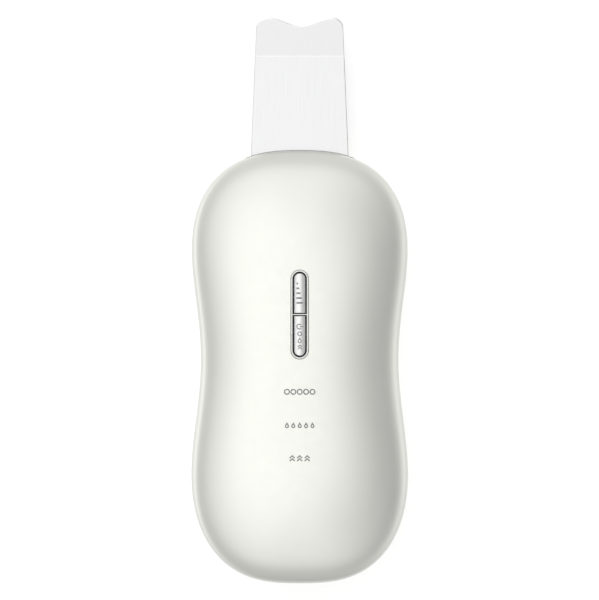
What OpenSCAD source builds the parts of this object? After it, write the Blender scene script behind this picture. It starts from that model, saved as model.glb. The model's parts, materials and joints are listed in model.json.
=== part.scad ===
// Ultrasonic skin scrubber, lying on its back.
// +Z leaves the front face, +Y runs towards the blade, +X is the right-hand side seen from
// the front. The origin is the middle of the whole length, on the surface it lies on.

/* [Body] */
// Length of the white body
body_l = 107.8; // [104:0.2:112]
// Greatest width of the body
body_w = 54; // [52:1:56]
// Thickness of the body, from the rear flat to the front crown
body_t = 21; // [20.5:0.5:22]
// Depth of the rear shell, from the rear flat to the joint between the shells
rear_t = 10; // [9.8:0.1:10.2]
// Height of the dome of the front face, above its straight side
front_dome = 7; // [6:0.5:9]
// Wall thickness of both shells
wall = 1.8; // [1.6:0.1:1.9]
// How far the waist is drawn in, as a share of the width
pinch = 0.25; // [0.1:0.01:0.3]
// Open line left between the two shells
seam = 0.15; // [0.1:0.05:0.2]

/* [Blade] */
// Length of blade outside the body
blade_reach = 33.4; // [28:0.2:36]
// Width of the blade where it leaves the body
blade_w = 24.3; // [22:0.1:25]
// Width of the blade at its tip
tip_w = 21.5; // [20:0.1:22]
// Thickness of the steel sheet
blade_t = 0.5; // [0.4:0.1:0.6]
// Length of the bent tip, seen from the front
tip_l = 9.6; // [8:0.2:12]
// Angle of the bent tip, towards the front
tip_bend = 18; // [8:1:22]
// Depth of the hollow in the tip edge
tip_dip = 2; // [1:0.1:3]

/* [Keys] */
// Width of both keys
key_w = 2.7; // [2.6:0.1:3]
// Length of the row of two keys
key_row_l = 20.4; // [20:0.1:21]
// Centre of the key row along the body
key_y = -3.6; // [-4:0.1:-3]
// Travel of a key from rest to its stop
key_travel = 0.35; // [0.2:0.05:0.4]
// Open line round each key
key_gap = 0.4; // [0.3:0.01:0.4]
// Width of the rim of the key frame
frame_rim = 0.4; // [0.35:0.05:0.6]

/* [Transducer] */
// Radius of the transducer stack
stack_r = 6; // [5.5:0.1:6]
// Thickness of one piezo ring
piezo_t = 2.5; // [2:0.1:2.5]
// Thickness of one electrode washer
washer_t = 0.3; // [0.2:0.1:0.3]

/* [Electronics] */
// Width of the main board
board_w = 30; // [28:1:31]
// Thickness of the main board
board_t = 1.2; // [1:0.1:1.4]
// Battery width, length and thickness
battery_size = [28, 36, 6.4];
// Charging socket width, length and height
socket_size = [8.94, 8.6, 3.26];

/* [Hidden] */

// Detail of the curved skins and of the round parts
stations = 36;
levels = 9;
$fn = 48;
eps = 0.01;

// Places along the length
base_y = -(body_l + blade_reach) / 2;
top_y = base_y + body_l;
tip_y = top_y + blade_reach;
mid_y = base_y + body_l / 2;

// Shape of the outline: u runs from -1 at the bottom end to 1 at the top end
top_power = 3.1;
top_corner = 2.6;
base_power = 2.5;
base_corner = 2.8;
waist_u = 0.035;
waist_reach = 0.62;

// Shape of the skins: roundness of the sides, full depth of the rear curve before its flat
// cuts it off, and the fall of the crown towards both ends
front_round = 2.3;
rear_round = 2.6;
rear_rise = rear_t + 2.4;
crown_fall = 0.1;

// Angle at which the front skin's last ring is closed
crown_t = 86;

// Gasket in the joint between the shells
gasket_w = 0.8;
gasket_h = 0.7;
gasket_inset = 0.5;

// Fits: a flat sheet in its slot, and a thread in its pilot hole
sheet_play = 0.03;
thread_play = 0.05;

// Blade root inside the body, and the slot that it leaves through
tang_w = 8;
tang_y = 28;
blade_root_y = 33.2;
ear_x = 8;
ear_drop = 2.5;
slot_half_w = blade_w / 2 + 1.5;
slot_half_h = 1.6;
slot_y = 33.6;
seal_play = 0.05;
seal_proud = 0.2;

// Key stack, from the crown down
key_len = (key_row_l - 0.75) / 2;
key_pitch = (key_row_l - key_len) / 2;
bar_w = 0.25;
frame_top = body_t + 0.15;
frame_slot_w = key_w + 2 * key_gap;
frame_slot_l = key_row_l + 2 * key_gap;
frame_w = frame_slot_w + 2 * frame_rim;
frame_l = frame_slot_l + 2 * frame_rim;
frame_play = 0.05;
frame_flange = 1.7;
flange_top = body_t - wall - 0.2;
flange_bottom = flange_top - 0.9;
key_seal_top = body_t - 0.95;
key_seal_t = 0.5;
key_seal_step = 0.25;
key_seal_play = 0.08;
key_top = body_t + 0.3;
key_crown_r = 3.8;
key_foot_top = flange_bottom - 0.1;
key_foot_t = 0.7;
key_foot_lip = 0.9;
key_nub_r = 0.9;
key_nub_l = 0.38;
nub_gap = 0.02;
plunger_top = key_foot_top - key_foot_t - key_nub_l - nub_gap;
plunger_r = 0.7;
plunger_rise = 0.7;
plunger_play = 0.06;
switch_size = [3, 4.4, 1.5];
switch_floor = 0.3;
switch_top = plunger_top - plunger_rise;

// Main board and what it carries
board_top = switch_top - switch_size[2];
board_bottom = board_top - board_t;
board_end_y = [-52, 6.8];
board_screw_x = 12.5;
board_screw_y = [-48, 3];
board_screw_r = 0.75;
board_screw_head_r = 1.5;
board_screw_head_h = 1.1;
board_hole_r = 0.9;
board_boss_r = 2.2;
board_pilot_l = 2.3;
pilot_r = 0.8;
lamp_y = [-39.2, -31, -22.8];
lamp_size = [1.6, 0.8, 0.7];
lamp_well_r = 1.6;
light_block_size = [6, 23, 2.8];
chip_places = [[-9, -20, 7], [9, -18, 5], [-9, -33, 4]];
chip_h = 1;
transformer_place = [4.6, -2.8];
transformer_size = [9, 9, 5.4];

// Transducer stack, built from the horn towards the bottom end
axis_z = rear_t;
horn_y = 32;
horn_l = 12.5;
horn_nose_r = stack_r - 1.2;
horn_nose_l = 6;
stack_bore_r = 2.2;
bolt_r = 2;
bolt_thread_l = 5;
bolt_play = 0.05;
washer_y = horn_y - horn_l;
front_piezo_y = washer_y - washer_t;
second_washer_y = front_piezo_y - piezo_t;
rear_piezo_y = second_washer_y - washer_t;
back_mass_y = rear_piezo_y - piezo_t;
back_mass_l = 6;
bolt_head_r = 3.2;
bolt_head_l = 2.2;
sleeve_r = stack_r + 1.2;
sleeve_y = 26;
sleeve_l = 5;
sleeve_play = 0.05;
cradle_y = 24.8;
cradle_l = 2.6;
cradle_half_w = 9;
cradle_gap = 0.5;

// Battery and its plug
battery_y = -50;
battery_pad_t = 0.7;
battery_z = wall + 0.1 + battery_pad_t;
plug_size = [5, 6, 4.6];
plug_place = [12.2, -9.4];

// Charging board and socket
socket_z = 6.7;
socket_y = base_y + 0.75;
socket_shell = 0.3;
charge_board_size = [14, 12, 1];
charge_board_y = -65.4;
charge_board_top = socket_z - socket_size[2] / 2;
charge_screw_x = 5;
charge_screw_y = -56;
charge_screw_head_r = 1.4;
charge_screw_head_h = 0.9;
charge_screw_l = 2.8;
charge_boss_r = 2;
port_play = 0.2;
tongue_size = [6.4, 6.55, 0.7];
tongue_y = socket_y + 1;

// Rear contact
plate_w = 14;
plate_l = 40;
plate_y = mid_y;
plate_t = 0.5;
plate_recess = 0.1;
plate_play = 0.1;
pin_place = [-6, -8];
pin_r = 1.1;
pin_tip_r = 0.6;
pin_play = 0.15;

// Shell screws
screw_places = [[17, 20], [-17, 20], [16, -55], [-16, -55]];
screw_head_r = 2;
screw_head_h = 1.4;
screw_r = 1;
screw_hole_r = 1.2;
screw_seat_z = 4;
screw_end_z = 13.8;
well_r = 2.4;
front_boss_r = 2.6;
rear_boss_r = 3.3;

function raw_outline(u) =
    let (
        power = u > 0 ? top_power : base_power,
        corner = u > 0 ? top_corner : base_corner,
        waist = pinch * exp(-pow((u - waist_u) / waist_reach, 2))
    )
    pow(max(0, 1 - pow(abs(u), power)), 1 / corner) * (1 - waist);
outline_peak = max([for (s = [-90 : 1 : 90]) raw_outline(sin(s))]);
// Half width of the outline at u, as a share of the greatest half width
function outline(u) = raw_outline(u) / outline_peak;

// Point k of a ring: up the right-hand side, then back down the left-hand side
function ring_u(k) = sin(k <= stations ? 180 * k / stations - 90 : 270 - 180 * k / stations);
function ring_side(k) = k <= stations ? 1 : -1;

// Flat outline of the body, moved inwards by inset
function rim_points(inset) = [
    for (k = [0 : 2 * stations - 1])
        let (u = ring_u(k))
        [ring_side(k) * (body_w / 2 - inset) * outline(u), mid_y + u * (body_l / 2 - inset)]
];

// One ring of a skin: t runs from 0 at the rim to 90 at the crown
function skin_ring(t, half_w, half_l, rise, round, fall) =
    let (
        shrink = pow(cos(t), 2 / round),
        lift = rise * pow(sin(t), 2 / round)
    )
    [
        for (k = [0 : 2 * stations - 1])
            let (u = ring_u(k), y = u * (half_l - half_w * (1 - shrink)))
            [
                ring_side(k) * half_w * outline(u) * shrink,
                mid_y + y,
                lift * (1 - fall * pow(y / half_l, 4))
            ]
    ];

// A solid half pebble that stands on its rim, with a skirt below the rim where one is asked for
module pebble(inset, rise, round, fall, last_t, skirt = 0) {
    half_w = body_w / 2 - inset;
    half_l = body_l / 2 - inset;
    count = 2 * stations;
    foot = skirt > 0 ? [[for (p = skin_ring(0, half_w, half_l, rise, round, 0)) [p[0], p[1], -skirt]]] : [];
    rings = concat(
        foot,
        [for (i = [0 : levels]) skin_ring(last_t * i / levels, half_w, half_l, rise, round, fall)]
    );
    points = [for (ring = rings) for (p = ring) p];
    top = (len(rings) - 1) * count;
    polyhedron(points = points, faces = concat(
        [[for (k = [0 : count - 1]) k]],
        [
            for (i = [0 : len(rings) - 2])
                for (k = [0 : count - 1])
                    for (half = [0, 1])
                        let (a = i * count + k, b = i * count + (k + 1) % count)
                        half == 0 ? [a, a + count, b + count] : [a, b + count, b]
        ],
        [for (k = [1 : stations - 1]) [top + k, top + count - k, top + count - k - 1]],
        [for (k = [0 : stations - 2]) [top + k, top + count - k - 1, top + k + 1]]
    ));
}

// The front dome on its straight side, down to the seam and, with a skirt, further
module front_pebble(inset, skirt = 0) {
    side_h = body_t - front_dome - rear_t - seam;
    translate([0, 0, body_t - front_dome])
        pebble(inset, front_dome - inset, front_round, crown_fall, crown_t, side_h + skirt);
}

module rear_pebble(inset, skirt = 0) {
    rise = rear_rise - inset;
    flat_t = asin(pow((rear_t - inset) / rise, rear_round / 2));
    translate([0, 0, rear_t])
        mirror([0, 0, 1])
            pebble(inset, rise, rear_round, 0, flat_t, skirt);
}

// A plate with two round ends, long in Y
module stadium(w, l, h) {
    linear_extrude(height = h)
        union() {
            square([w, l - w], center = true);
            for (end = [-1, 1])
                translate([0, end * (l - w) / 2]) circle(d = w);
        }
}

// A key's plan: its outer end is round, its inner end is square
module key_plan(w, l, h) {
    linear_extrude(height = h)
        union() {
            translate([0, l / 2 - w / 2]) circle(d = w);
            translate([-w / 2, -l / 2]) square([w, l - w / 2]);
        }
}

module box(size, place, z) {
    translate([place[0] - size[0] / 2, place[1] - size[1] / 2, z]) cube(size);
}

// A round section of the transducer, from y towards the bottom end
module stack_section(y, l, r) {
    translate([0, y, axis_z]) rotate([90, 0, 0]) cylinder(h = l, r = r);
}

module shell_slot() {
    translate([-slot_half_w, slot_y, rear_t - slot_half_h])
        cube([2 * slot_half_w, body_l, 2 * slot_half_h]);
}

module front_bosses() {
    for (p = screw_places)
        translate([p[0], p[1], rear_t]) cylinder(h = body_t, r = front_boss_r);
    for (x = [-board_screw_x, board_screw_x], y = board_screw_y)
        translate([x, y, board_top]) cylinder(h = body_t, r = board_boss_r);
}

module front_cradle() {
    difference() {
        translate([-cradle_half_w, cradle_y - cradle_l, rear_t + cradle_gap])
            cube([2 * cradle_half_w, cradle_l, body_t]);
        stack_section(cradle_y + 1, cradle_l + 2, sleeve_r + sleeve_play);
    }
}

module front_shell() {
    color("whitesmoke")
        difference() {
            union() {
                difference() {
                    front_pebble(0);
                    front_pebble(wall, skirt = 1);
                }
                intersection() {
                    front_pebble(wall / 2);
                    union() {
                        front_bosses();
                        front_cradle();
                    }
                }
            }
            shell_slot();
            translate([0, key_y, flange_top - 1])
                stadium(frame_w + 2 * frame_play, frame_l + 2 * frame_play, body_t);
            for (p = screw_places)
                translate([p[0], p[1], rear_t - 1])
                    cylinder(h = screw_end_z - rear_t + 1.3, r = screw_r + thread_play);
            for (x = [-board_screw_x, board_screw_x], y = board_screw_y)
                translate([x, y, board_top - 1]) cylinder(h = board_pilot_l + 1, r = pilot_r);
        }
}

module rear_bosses() {
    for (p = screw_places)
        translate([p[0], p[1], 1]) cylinder(h = rear_t - 1.3, r = rear_boss_r);
    for (x = [-charge_screw_x, charge_screw_x])
        translate([x, charge_screw_y, 1])
            cylinder(h = charge_board_top - charge_board_size[2] - 1, r = charge_boss_r);
}

module rear_cradle() {
    difference() {
        translate([-cradle_half_w, cradle_y - cradle_l, 1])
            cube([2 * cradle_half_w, cradle_l, rear_t - 1 - cradle_gap]);
        stack_section(cradle_y + 1, cradle_l + 2, sleeve_r + sleeve_play);
    }
}

// The socket's rounded section, with its long way across the body
module socket_section(y, l, grow) {
    h = socket_size[2] + 2 * grow;
    w = socket_size[0] + 2 * grow;
    translate([0, y, socket_z])
        rotate([-90, 0, 0])
            linear_extrude(height = l)
                union() {
                    square([w - h, h], center = true);
                    for (side = [-1, 1])
                        translate([side * (w - h) / 2, 0]) circle(d = h);
                }
}

module rear_shell() {
    color("whitesmoke")
        difference() {
            union() {
                difference() {
                    rear_pebble(0);
                    rear_pebble(wall, skirt = 1);
                }
                intersection() {
                    rear_pebble(wall / 2);
                    union() {
                        rear_bosses();
                        rear_cradle();
                    }
                }
            }
            shell_slot();
            translate([0, 0, rear_t - gasket_h]) gasket_ring(gasket_h + 1);
            socket_section(base_y - 1, 5, port_play);
            for (p = screw_places)
                translate([p[0], p[1], -1]) {
                    cylinder(h = rear_t + 1, r = screw_hole_r);
                    cylinder(h = screw_seat_z + 1, r = well_r);
                }
            for (x = [-charge_screw_x, charge_screw_x])
                translate([x, charge_screw_y, 2]) cylinder(h = charge_screw_l + 0.2, r = pilot_r);
            translate([0, plate_y, -1])
                stadium(
                    plate_w + 2 * plate_play,
                    plate_l + 2 * plate_play,
                    1 + plate_recess + plate_t + 0.05
                );
            translate([pin_place[0], pin_place[1], 0]) cylinder(h = wall + 1, r = pin_tip_r + pin_play);
        }
}

module gasket_ring(h) {
    linear_extrude(height = h)
        difference() {
            polygon(rim_points(gasket_inset));
            polygon(rim_points(gasket_inset + gasket_w));
        }
}

module shell_gasket() {
    color("dimgray")
        difference() {
            translate([0, 0, rear_t - gasket_h]) gasket_ring(gasket_h + seam);
            shell_slot();
        }
}

// Half width of the blade at y: straight inside the body, then tapering evenly to its tip
function blade_half_w(y) = (blade_w + (tip_w - blade_w) * max(0, y - top_y) / blade_reach) / 2;

// Right-hand edge of the blade, from its tang to the middle of the hollow tip edge
function blade_edge() = concat(
    [
        [tang_w / 2, tang_y],
        [tang_w / 2, blade_root_y - 1],
        [tang_w / 2 + 1, blade_root_y],
        [blade_w / 2 - 1, blade_root_y],
        [blade_w / 2, blade_root_y + 1],
        [blade_w / 2, top_y],
        [blade_half_w(tip_y - ear_drop), tip_y - ear_drop]
    ],
    [for (a = [15 : 15 : 90]) [ear_x + (tip_w / 2 - ear_x) * cos(a), tip_y - ear_drop * (1 - sin(a))]],
    [for (k = [1 : 8]) let (x = ear_x * (1 - k / 8)) [x, tip_y - tip_dip * (1 + cos(180 * x / ear_x)) / 2]]
);

module blade_plan() {
    right = blade_edge();
    left = [for (k = [len(right) - 2 : -1 : 0]) [-right[k][0], right[k][1]]];
    polygon(concat(right, left));
}

module blade() {
    bend_y = tip_y - tip_l;
    // Lengthens the flat tip so that it still ends at tip_y once it is bent
    tip_stretch = (1 - blade_t / 2 * sin(tip_bend) / tip_l) / cos(tip_bend);
    color("silver") {
        translate([0, 0, axis_z - blade_t / 2])
            linear_extrude(height = blade_t)
                difference() {
                    blade_plan();
                    translate([-body_w, bend_y]) square([2 * body_w, body_l]);
                }
        translate([0, bend_y, axis_z])
            rotate([tip_bend, 0, 0])
                translate([0, 0, -blade_t / 2])
                    linear_extrude(height = blade_t)
                        scale([1, tip_stretch])
                            translate([0, -bend_y])
                                intersection() {
                                    blade_plan();
                                    translate([-body_w, bend_y]) square([2 * body_w, body_l]);
                                }
        translate([-blade_half_w(bend_y), bend_y, axis_z])
            rotate([0, 90, 0])
                cylinder(h = 2 * blade_half_w(bend_y), d = blade_t);
    }
}

module blade_seal() {
    color("dimgray")
        difference() {
            translate([0, 0, rear_t - slot_half_h + seal_play])
                linear_extrude(height = 2 * (slot_half_h - seal_play))
                    intersection() {
                        polygon(rim_points(-seal_proud));
                        translate([-slot_half_w + seal_play, slot_y + seal_play])
                            square([2 * (slot_half_w - seal_play), body_l]);
                    }
            translate([-blade_w / 2 - sheet_play, slot_y - 1, rear_t - blade_t / 2 - sheet_play])
                cube([blade_w + 2 * sheet_play, body_l, blade_t + 2 * sheet_play]);
        }
}

module key_frame() {
    lower_w = frame_slot_w + 2 * key_seal_step;
    lower_l = frame_slot_l + 2 * key_seal_step;
    color("white")
        union() {
            difference() {
                translate([0, key_y, flange_bottom]) {
                    stadium(frame_w, frame_l, frame_top - flange_bottom);
                    stadium(
                        frame_w + 2 * frame_flange,
                        frame_l + 2 * frame_flange,
                        flange_top - flange_bottom
                    );
                }
                translate([0, key_y, flange_bottom - 1]) {
                    stadium(lower_w, lower_l, key_seal_top - flange_bottom + 1);
                    stadium(frame_slot_w, frame_slot_l, body_t);
                }
            }
            translate([-frame_slot_w / 2 - eps, key_y - bar_w / 2, key_seal_top])
                cube([frame_slot_w + 2 * eps, bar_w, frame_top - key_seal_top - 0.1]);
        }
}

// Places a child for the upper key (end = 1) or, turned round, for the lower key (end = -1)
module at_key(end) {
    translate([0, key_y + end * key_pitch, 0]) rotate([0, 0, end > 0 ? 0 : 180]) children();
}

module key_seal() {
    play = key_seal_play;
    outer_w = frame_slot_w + 2 * (key_seal_step - frame_play);
    outer_l = frame_slot_l + 2 * (key_seal_step - frame_play);
    color("dimgray")
        difference() {
            translate([0, key_y, key_seal_top - key_seal_t]) stadium(outer_w, outer_l, key_seal_t - 0.03);
            for (end = [-1, 1])
                at_key(end)
                    translate([0, 0, key_seal_top - 1])
                        key_plan(key_w + 2 * play, key_len + 2 * play, 2);
        }
}

module key() {
    color("white")
        union() {
            intersection() {
                translate([0, 0, key_foot_top - key_foot_t]) key_plan(key_w, key_len, body_t);
                translate([0, key_len, key_top - key_crown_r])
                    rotate([90, 0, 0])
                        cylinder(h = 2 * key_len, r = key_crown_r, $fn = 96);
            }
            translate([0, 0, key_foot_top - key_foot_t])
                translate([-key_w / 2 - key_foot_lip, -key_len / 2, 0])
                    cube([key_w + 2 * key_foot_lip, key_len, key_foot_t]);
            translate([0, 0, plunger_top + nub_gap]) cylinder(h = key_nub_l + eps, r = key_nub_r);
        }
}

module level_key() {
    at_key(1) key();
}

module mode_key() {
    at_key(-1) key();
}

module switch_body() {
    color("dimgray")
        difference() {
            box(switch_size, [0, 0], board_top);
            translate([0, 0, board_top + switch_floor])
                cylinder(h = switch_size[2], r = plunger_r + plunger_play);
        }
}

module switch_plunger() {
    bottom = board_top + switch_floor + key_travel + 0.1;
    color("ivory") translate([0, 0, bottom]) cylinder(h = plunger_top - bottom, r = plunger_r);
}

module level_switch() {
    at_key(1) switch_body();
}

module mode_switch() {
    at_key(-1) switch_body();
}

module level_plunger() {
    at_key(1) switch_plunger();
}

module mode_plunger() {
    at_key(-1) switch_plunger();
}

module main_board() {
    length = board_end_y[1] - board_end_y[0];
    middle = (board_end_y[1] + board_end_y[0]) / 2;
    color("darkgreen")
        difference() {
            box([board_w, length, board_t], [0, middle], board_bottom);
            for (x = [-board_screw_x, board_screw_x], y = board_screw_y)
                translate([x, y, board_bottom - 1]) cylinder(h = board_t + 2, r = board_hole_r);
        }
}

module control_chips() {
    color("black")
        for (chip = chip_places)
            box([chip[2], chip[2], chip_h], chip, board_top);
}

module indicator_lamps() {
    color("lightyellow")
        for (y = lamp_y)
            box(lamp_size, [0, y], board_top);
}

module light_block() {
    color("ghostwhite")
        difference() {
            box(light_block_size, [0, lamp_y[1]], body_t - wall - 0.3 - light_block_size[2]);
            for (y = lamp_y)
                translate([0, y, board_top]) cylinder(h = body_t, r = lamp_well_r);
        }
}

module driver_transformer() {
    bottom = board_bottom - transformer_size[2];
    flange = [transformer_size[0], transformer_size[1], 1.2];
    color("darkorange")
        union() {
            box(flange, transformer_place, bottom);
            box(flange, transformer_place, board_bottom - flange[2]);
            translate([transformer_place[0], transformer_place[1], bottom])
                cylinder(h = transformer_size[2], r = transformer_size[0] / 2 - 0.5);
        }
}

module transducer_horn() {
    color("silver")
        difference() {
            union() {
                stack_section(horn_y, horn_l, horn_nose_r);
                stack_section(horn_y - horn_nose_l, horn_l - horn_nose_l, stack_r);
            }
            stack_section(washer_y + bolt_thread_l, bolt_thread_l + 1, bolt_r + bolt_play);
            translate([-tang_w / 2 - sheet_play, tang_y - sheet_play, axis_z - blade_t / 2 - sheet_play])
                cube([tang_w + 2 * sheet_play, horn_l, blade_t + 2 * sheet_play]);
        }
}

module piezo_ring(y) {
    color("dimgray")
        difference() {
            stack_section(y, piezo_t, stack_r);
            stack_section(y + 1, piezo_t + 2, stack_bore_r);
        }
}

module front_piezo_ring() {
    piezo_ring(front_piezo_y);
}

module rear_piezo_ring() {
    piezo_ring(rear_piezo_y);
}

module electrode_washers() {
    color("goldenrod")
        for (y = [washer_y, second_washer_y])
            difference() {
                union() {
                    stack_section(y, washer_t, stack_r);
                    translate([stack_r - 1.5, y - washer_t, axis_z - 1]) cube([4, washer_t, 2]);
                }
                stack_section(y + 1, 3, stack_bore_r);
            }
}

module back_mass() {
    color("slategray")
        difference() {
            stack_section(back_mass_y, back_mass_l, stack_r);
            stack_section(back_mass_y + 1, back_mass_l + 2, stack_bore_r);
        }
}

module clamp_bolt() {
    head_y = back_mass_y - back_mass_l;
    shank_l = washer_y + bolt_thread_l - 0.5 - head_y;
    color("gray")
        difference() {
            union() {
                stack_section(head_y + shank_l, shank_l + 1, bolt_r);
                stack_section(head_y, bolt_head_l, bolt_head_r);
            }
            translate([0, head_y - bolt_head_l + 1.2, axis_z])
                rotate([90, 0, 0])
                    cylinder(h = 2, r = 1.6, $fn = 6);
        }
}

module transducer_sleeve() {
    color("dimgray")
        difference() {
            stack_section(sleeve_y, sleeve_l, sleeve_r);
            stack_section(sleeve_y + 1, sleeve_l + 2, stack_r + 0.02);
        }
}

module battery() {
    size = battery_size;
    color("lightsteelblue")
        union() {
            box([size[0], size[1] - 2, size[2]], [0, battery_y + size[1] / 2 - 1], battery_z);
            box([size[0] - 4, 2, 2], [0, battery_y + size[1] - 1], battery_z + size[2] / 2 - 1);
        }
}

module battery_pad() {
    color("gray")
        box([battery_size[0] - 4, battery_size[1] - 8, battery_pad_t - 0.04],
            [0, battery_y + battery_size[1] / 2], battery_z - battery_pad_t + 0.02);
}

module battery_plug() {
    color("ivory")
        difference() {
            box(plug_size, plug_place, board_bottom - plug_size[2]);
            box([plug_size[0] - 1, plug_size[1] - 1, 2], plug_place, board_bottom - plug_size[2] - 1);
        }
}

// A tube of radius r along a route, with its sections square to the route
function unit(v) = v / norm(v);
function route_way(route, k) = unit(route[min(k + 1, len(route) - 1)] - route[max(k - 1, 0)]);
module wire(route, r) {
    sides = 8;
    side_step = 360 / sides;
    points = [
        for (k = [0 : len(route) - 1])
            let (
                way = route_way(route, k),
                across = unit(cross(way, [0.3, 0.1, 1])),
                up = cross(across, way)
            )
            for (s = [0 : sides - 1])
                route[k] + r * (cos(s * side_step) * across + sin(s * side_step) * up)
    ];
    last = (len(route) - 1) * sides;
    polyhedron(points = points, faces = concat(
        [[for (s = [0 : sides - 1]) s]],
        [
            for (k = [0 : len(route) - 2])
                for (s = [0 : sides - 1])
                    for (half = [0, 1])
                        let (a = k * sides + s, b = k * sides + (s + 1) % sides)
                        half == 0 ? [a, a + sides, b + sides] : [a, b + sides, b]
        ],
        [[for (s = [sides - 1 : -1 : 0]) last + s]]
    ));
}

// Points of a smooth curve from a to d that leaves towards b and arrives from c
function sweep(a, b, c, d, steps = 9) = [
    for (k = [0 : steps])
        let (t = k / steps, s = 1 - t)
        s * s * s * a + 3 * s * s * t * b + 3 * s * t * t * c + t * t * t * d
];

module battery_lead() {
    start_y = battery_y + battery_size[1] + 0.1;
    start_z = battery_z + battery_size[2] / 2;
    plug_z = board_bottom - plug_size[2] + 0.9;
    for (k = [0, 1])
        color(k == 0 ? "red" : "black")
            wire(sweep(
                [9 + 1.6 * k, start_y, start_z],
                [9 + 1.6 * k, start_y + 3, start_z],
                [plug_place[0] - 0.8 + 1.6 * k, plug_place[1], plug_z - 4],
                [plug_place[0] - 0.8 + 1.6 * k, plug_place[1], plug_z]
            ), 0.5);
}

module transducer_lead() {
    tab_x = stack_r + 3.1;
    for (k = [0, 1]) {
        tab_y = (k == 0 ? washer_y : second_washer_y) - washer_t / 2;
        color(k == 0 ? "red" : "white")
            wire(sweep(
                [tab_x, tab_y, axis_z],
                [tab_x + 6 - 4 * k, tab_y - 2, axis_z],
                [tab_x + 4 - 3 * k, board_end_y[1] + 5, board_bottom - 3],
                [tab_x + 2 - 3 * k, board_end_y[1] - 1, board_bottom - 0.6]
            ), 0.45);
    }
}

module charge_board() {
    color("darkgreen")
        difference() {
            translate([-charge_board_size[0] / 2, charge_board_y, charge_board_top - charge_board_size[2]])
                cube(charge_board_size);
            for (x = [-charge_screw_x, charge_screw_x])
                translate([x, charge_screw_y, 0]) cylinder(h = body_t, r = board_hole_r);
        }
}

module charge_socket() {
    color("silver")
        difference() {
            socket_section(socket_y, socket_size[1], 0);
            socket_section(socket_y - 1, socket_size[1], -socket_shell);
        }
}

module charge_tongue() {
    size = tongue_size;
    color("black") translate([-size[0] / 2, tongue_y, socket_z - size[2] / 2]) cube(size);
}

module charge_lead() {
    for (k = [0 : 3])
        color("dimgray")
            wire(sweep(
                [k - 1.5, charge_board_y + 10.6, charge_board_top + 0.6],
                [k - 1.5, charge_board_y + 11.4, charge_board_top + 6],
                [k - 1.5, board_end_y[0] + 0.4, board_bottom - 5],
                [k - 1.5, board_end_y[0] + 1.4, board_bottom - 0.5]
            ), 0.4);
}

module contact_plate() {
    color("silver") translate([0, plate_y, plate_recess]) stadium(plate_w, plate_l, plate_t);
}

module contact_pin() {
    bottom = plate_recess + plate_t + 0.02;
    color("goldenrod")
        translate([pin_place[0], pin_place[1], 0])
            union() {
                translate([0, 0, bottom]) cylinder(h = wall + 1, r = pin_tip_r);
                translate([0, 0, wall + 0.4]) cylinder(h = board_bottom - wall - 0.42, r = pin_r);
            }
}

// A pan-head screw that points up, its head under z
module screw(place, z, head_r, head_h, shank_r, shank_l) {
    color("gray")
        translate([place[0], place[1], z])
            difference() {
                union() {
                    translate([0, 0, -head_h]) cylinder(h = head_h, r = head_r);
                    cylinder(h = shank_l, r = shank_r);
                }
                for (turn = [0, 90])
                    rotate([0, 0, turn])
                        translate([-head_r * 0.6, -0.2, -head_h - 1])
                            cube([head_r * 1.2, 0.4, 1 + head_h * 0.5]);
            }
}

module board_screws() {
    for (x = [-board_screw_x, board_screw_x], y = board_screw_y)
        screw([x, y], board_bottom - 0.02, board_screw_head_r, board_screw_head_h,
            board_screw_r, board_t + board_pilot_l - 0.3);
}

module charge_screws() {
    for (x = [-charge_screw_x, charge_screw_x])
        translate([0, 0, charge_board_top + 0.02])
            mirror([0, 0, 1])
                screw([x, charge_screw_y], 0, charge_screw_head_r, charge_screw_head_h,
                    board_screw_r, charge_screw_l);
}

module shell_screws() {
    for (p = screw_places)
        screw(p, screw_seat_z - 0.02, screw_head_r, screw_head_h, screw_r, screw_end_z - screw_seat_z);
}

front_shell();
rear_shell();
shell_gasket();
blade();
blade_seal();
key_frame();
key_seal();
level_key();
mode_key();
level_switch();
mode_switch();
level_plunger();
mode_plunger();
main_board();
control_chips();
indicator_lamps();
light_block();
driver_transformer();
transducer_horn();
front_piezo_ring();
rear_piezo_ring();
electrode_washers();
back_mass();
clamp_bolt();
transducer_sleeve();
battery();
battery_pad();
battery_plug();
battery_lead();
transducer_lead();
charge_board();
charge_socket();
charge_tongue();
charge_lead();
contact_plate();
contact_pin();
board_screws();
charge_screws();
shell_screws();
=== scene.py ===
"""An ultrasonic skin scrubber that lies on its back on a pale table, under soft studio light.

Everything is worked out in millimetres in the CAD part's own frame and turned into metres when
a mesh is made. +Z leaves the front face, +Y runs towards the blade and +X is the right-hand side.
"""

import json
import math

import bmesh
import bpy
import numpy as np
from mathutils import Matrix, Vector
from mathutils.bvhtree import BVHTree


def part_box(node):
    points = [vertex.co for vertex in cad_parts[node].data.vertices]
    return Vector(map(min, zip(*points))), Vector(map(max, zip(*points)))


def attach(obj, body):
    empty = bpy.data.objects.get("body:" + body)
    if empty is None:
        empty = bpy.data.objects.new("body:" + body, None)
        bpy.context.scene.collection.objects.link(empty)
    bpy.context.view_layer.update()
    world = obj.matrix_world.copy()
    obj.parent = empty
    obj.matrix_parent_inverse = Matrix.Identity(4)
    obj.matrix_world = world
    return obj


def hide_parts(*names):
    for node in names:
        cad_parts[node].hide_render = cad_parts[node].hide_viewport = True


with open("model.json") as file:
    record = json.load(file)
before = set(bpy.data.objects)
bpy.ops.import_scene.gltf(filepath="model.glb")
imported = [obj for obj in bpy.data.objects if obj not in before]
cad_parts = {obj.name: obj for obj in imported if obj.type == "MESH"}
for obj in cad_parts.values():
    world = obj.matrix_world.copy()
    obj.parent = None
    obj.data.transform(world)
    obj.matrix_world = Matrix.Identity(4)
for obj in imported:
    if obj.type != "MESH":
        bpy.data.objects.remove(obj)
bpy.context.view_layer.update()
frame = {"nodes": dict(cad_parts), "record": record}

MM = 0.001

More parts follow.
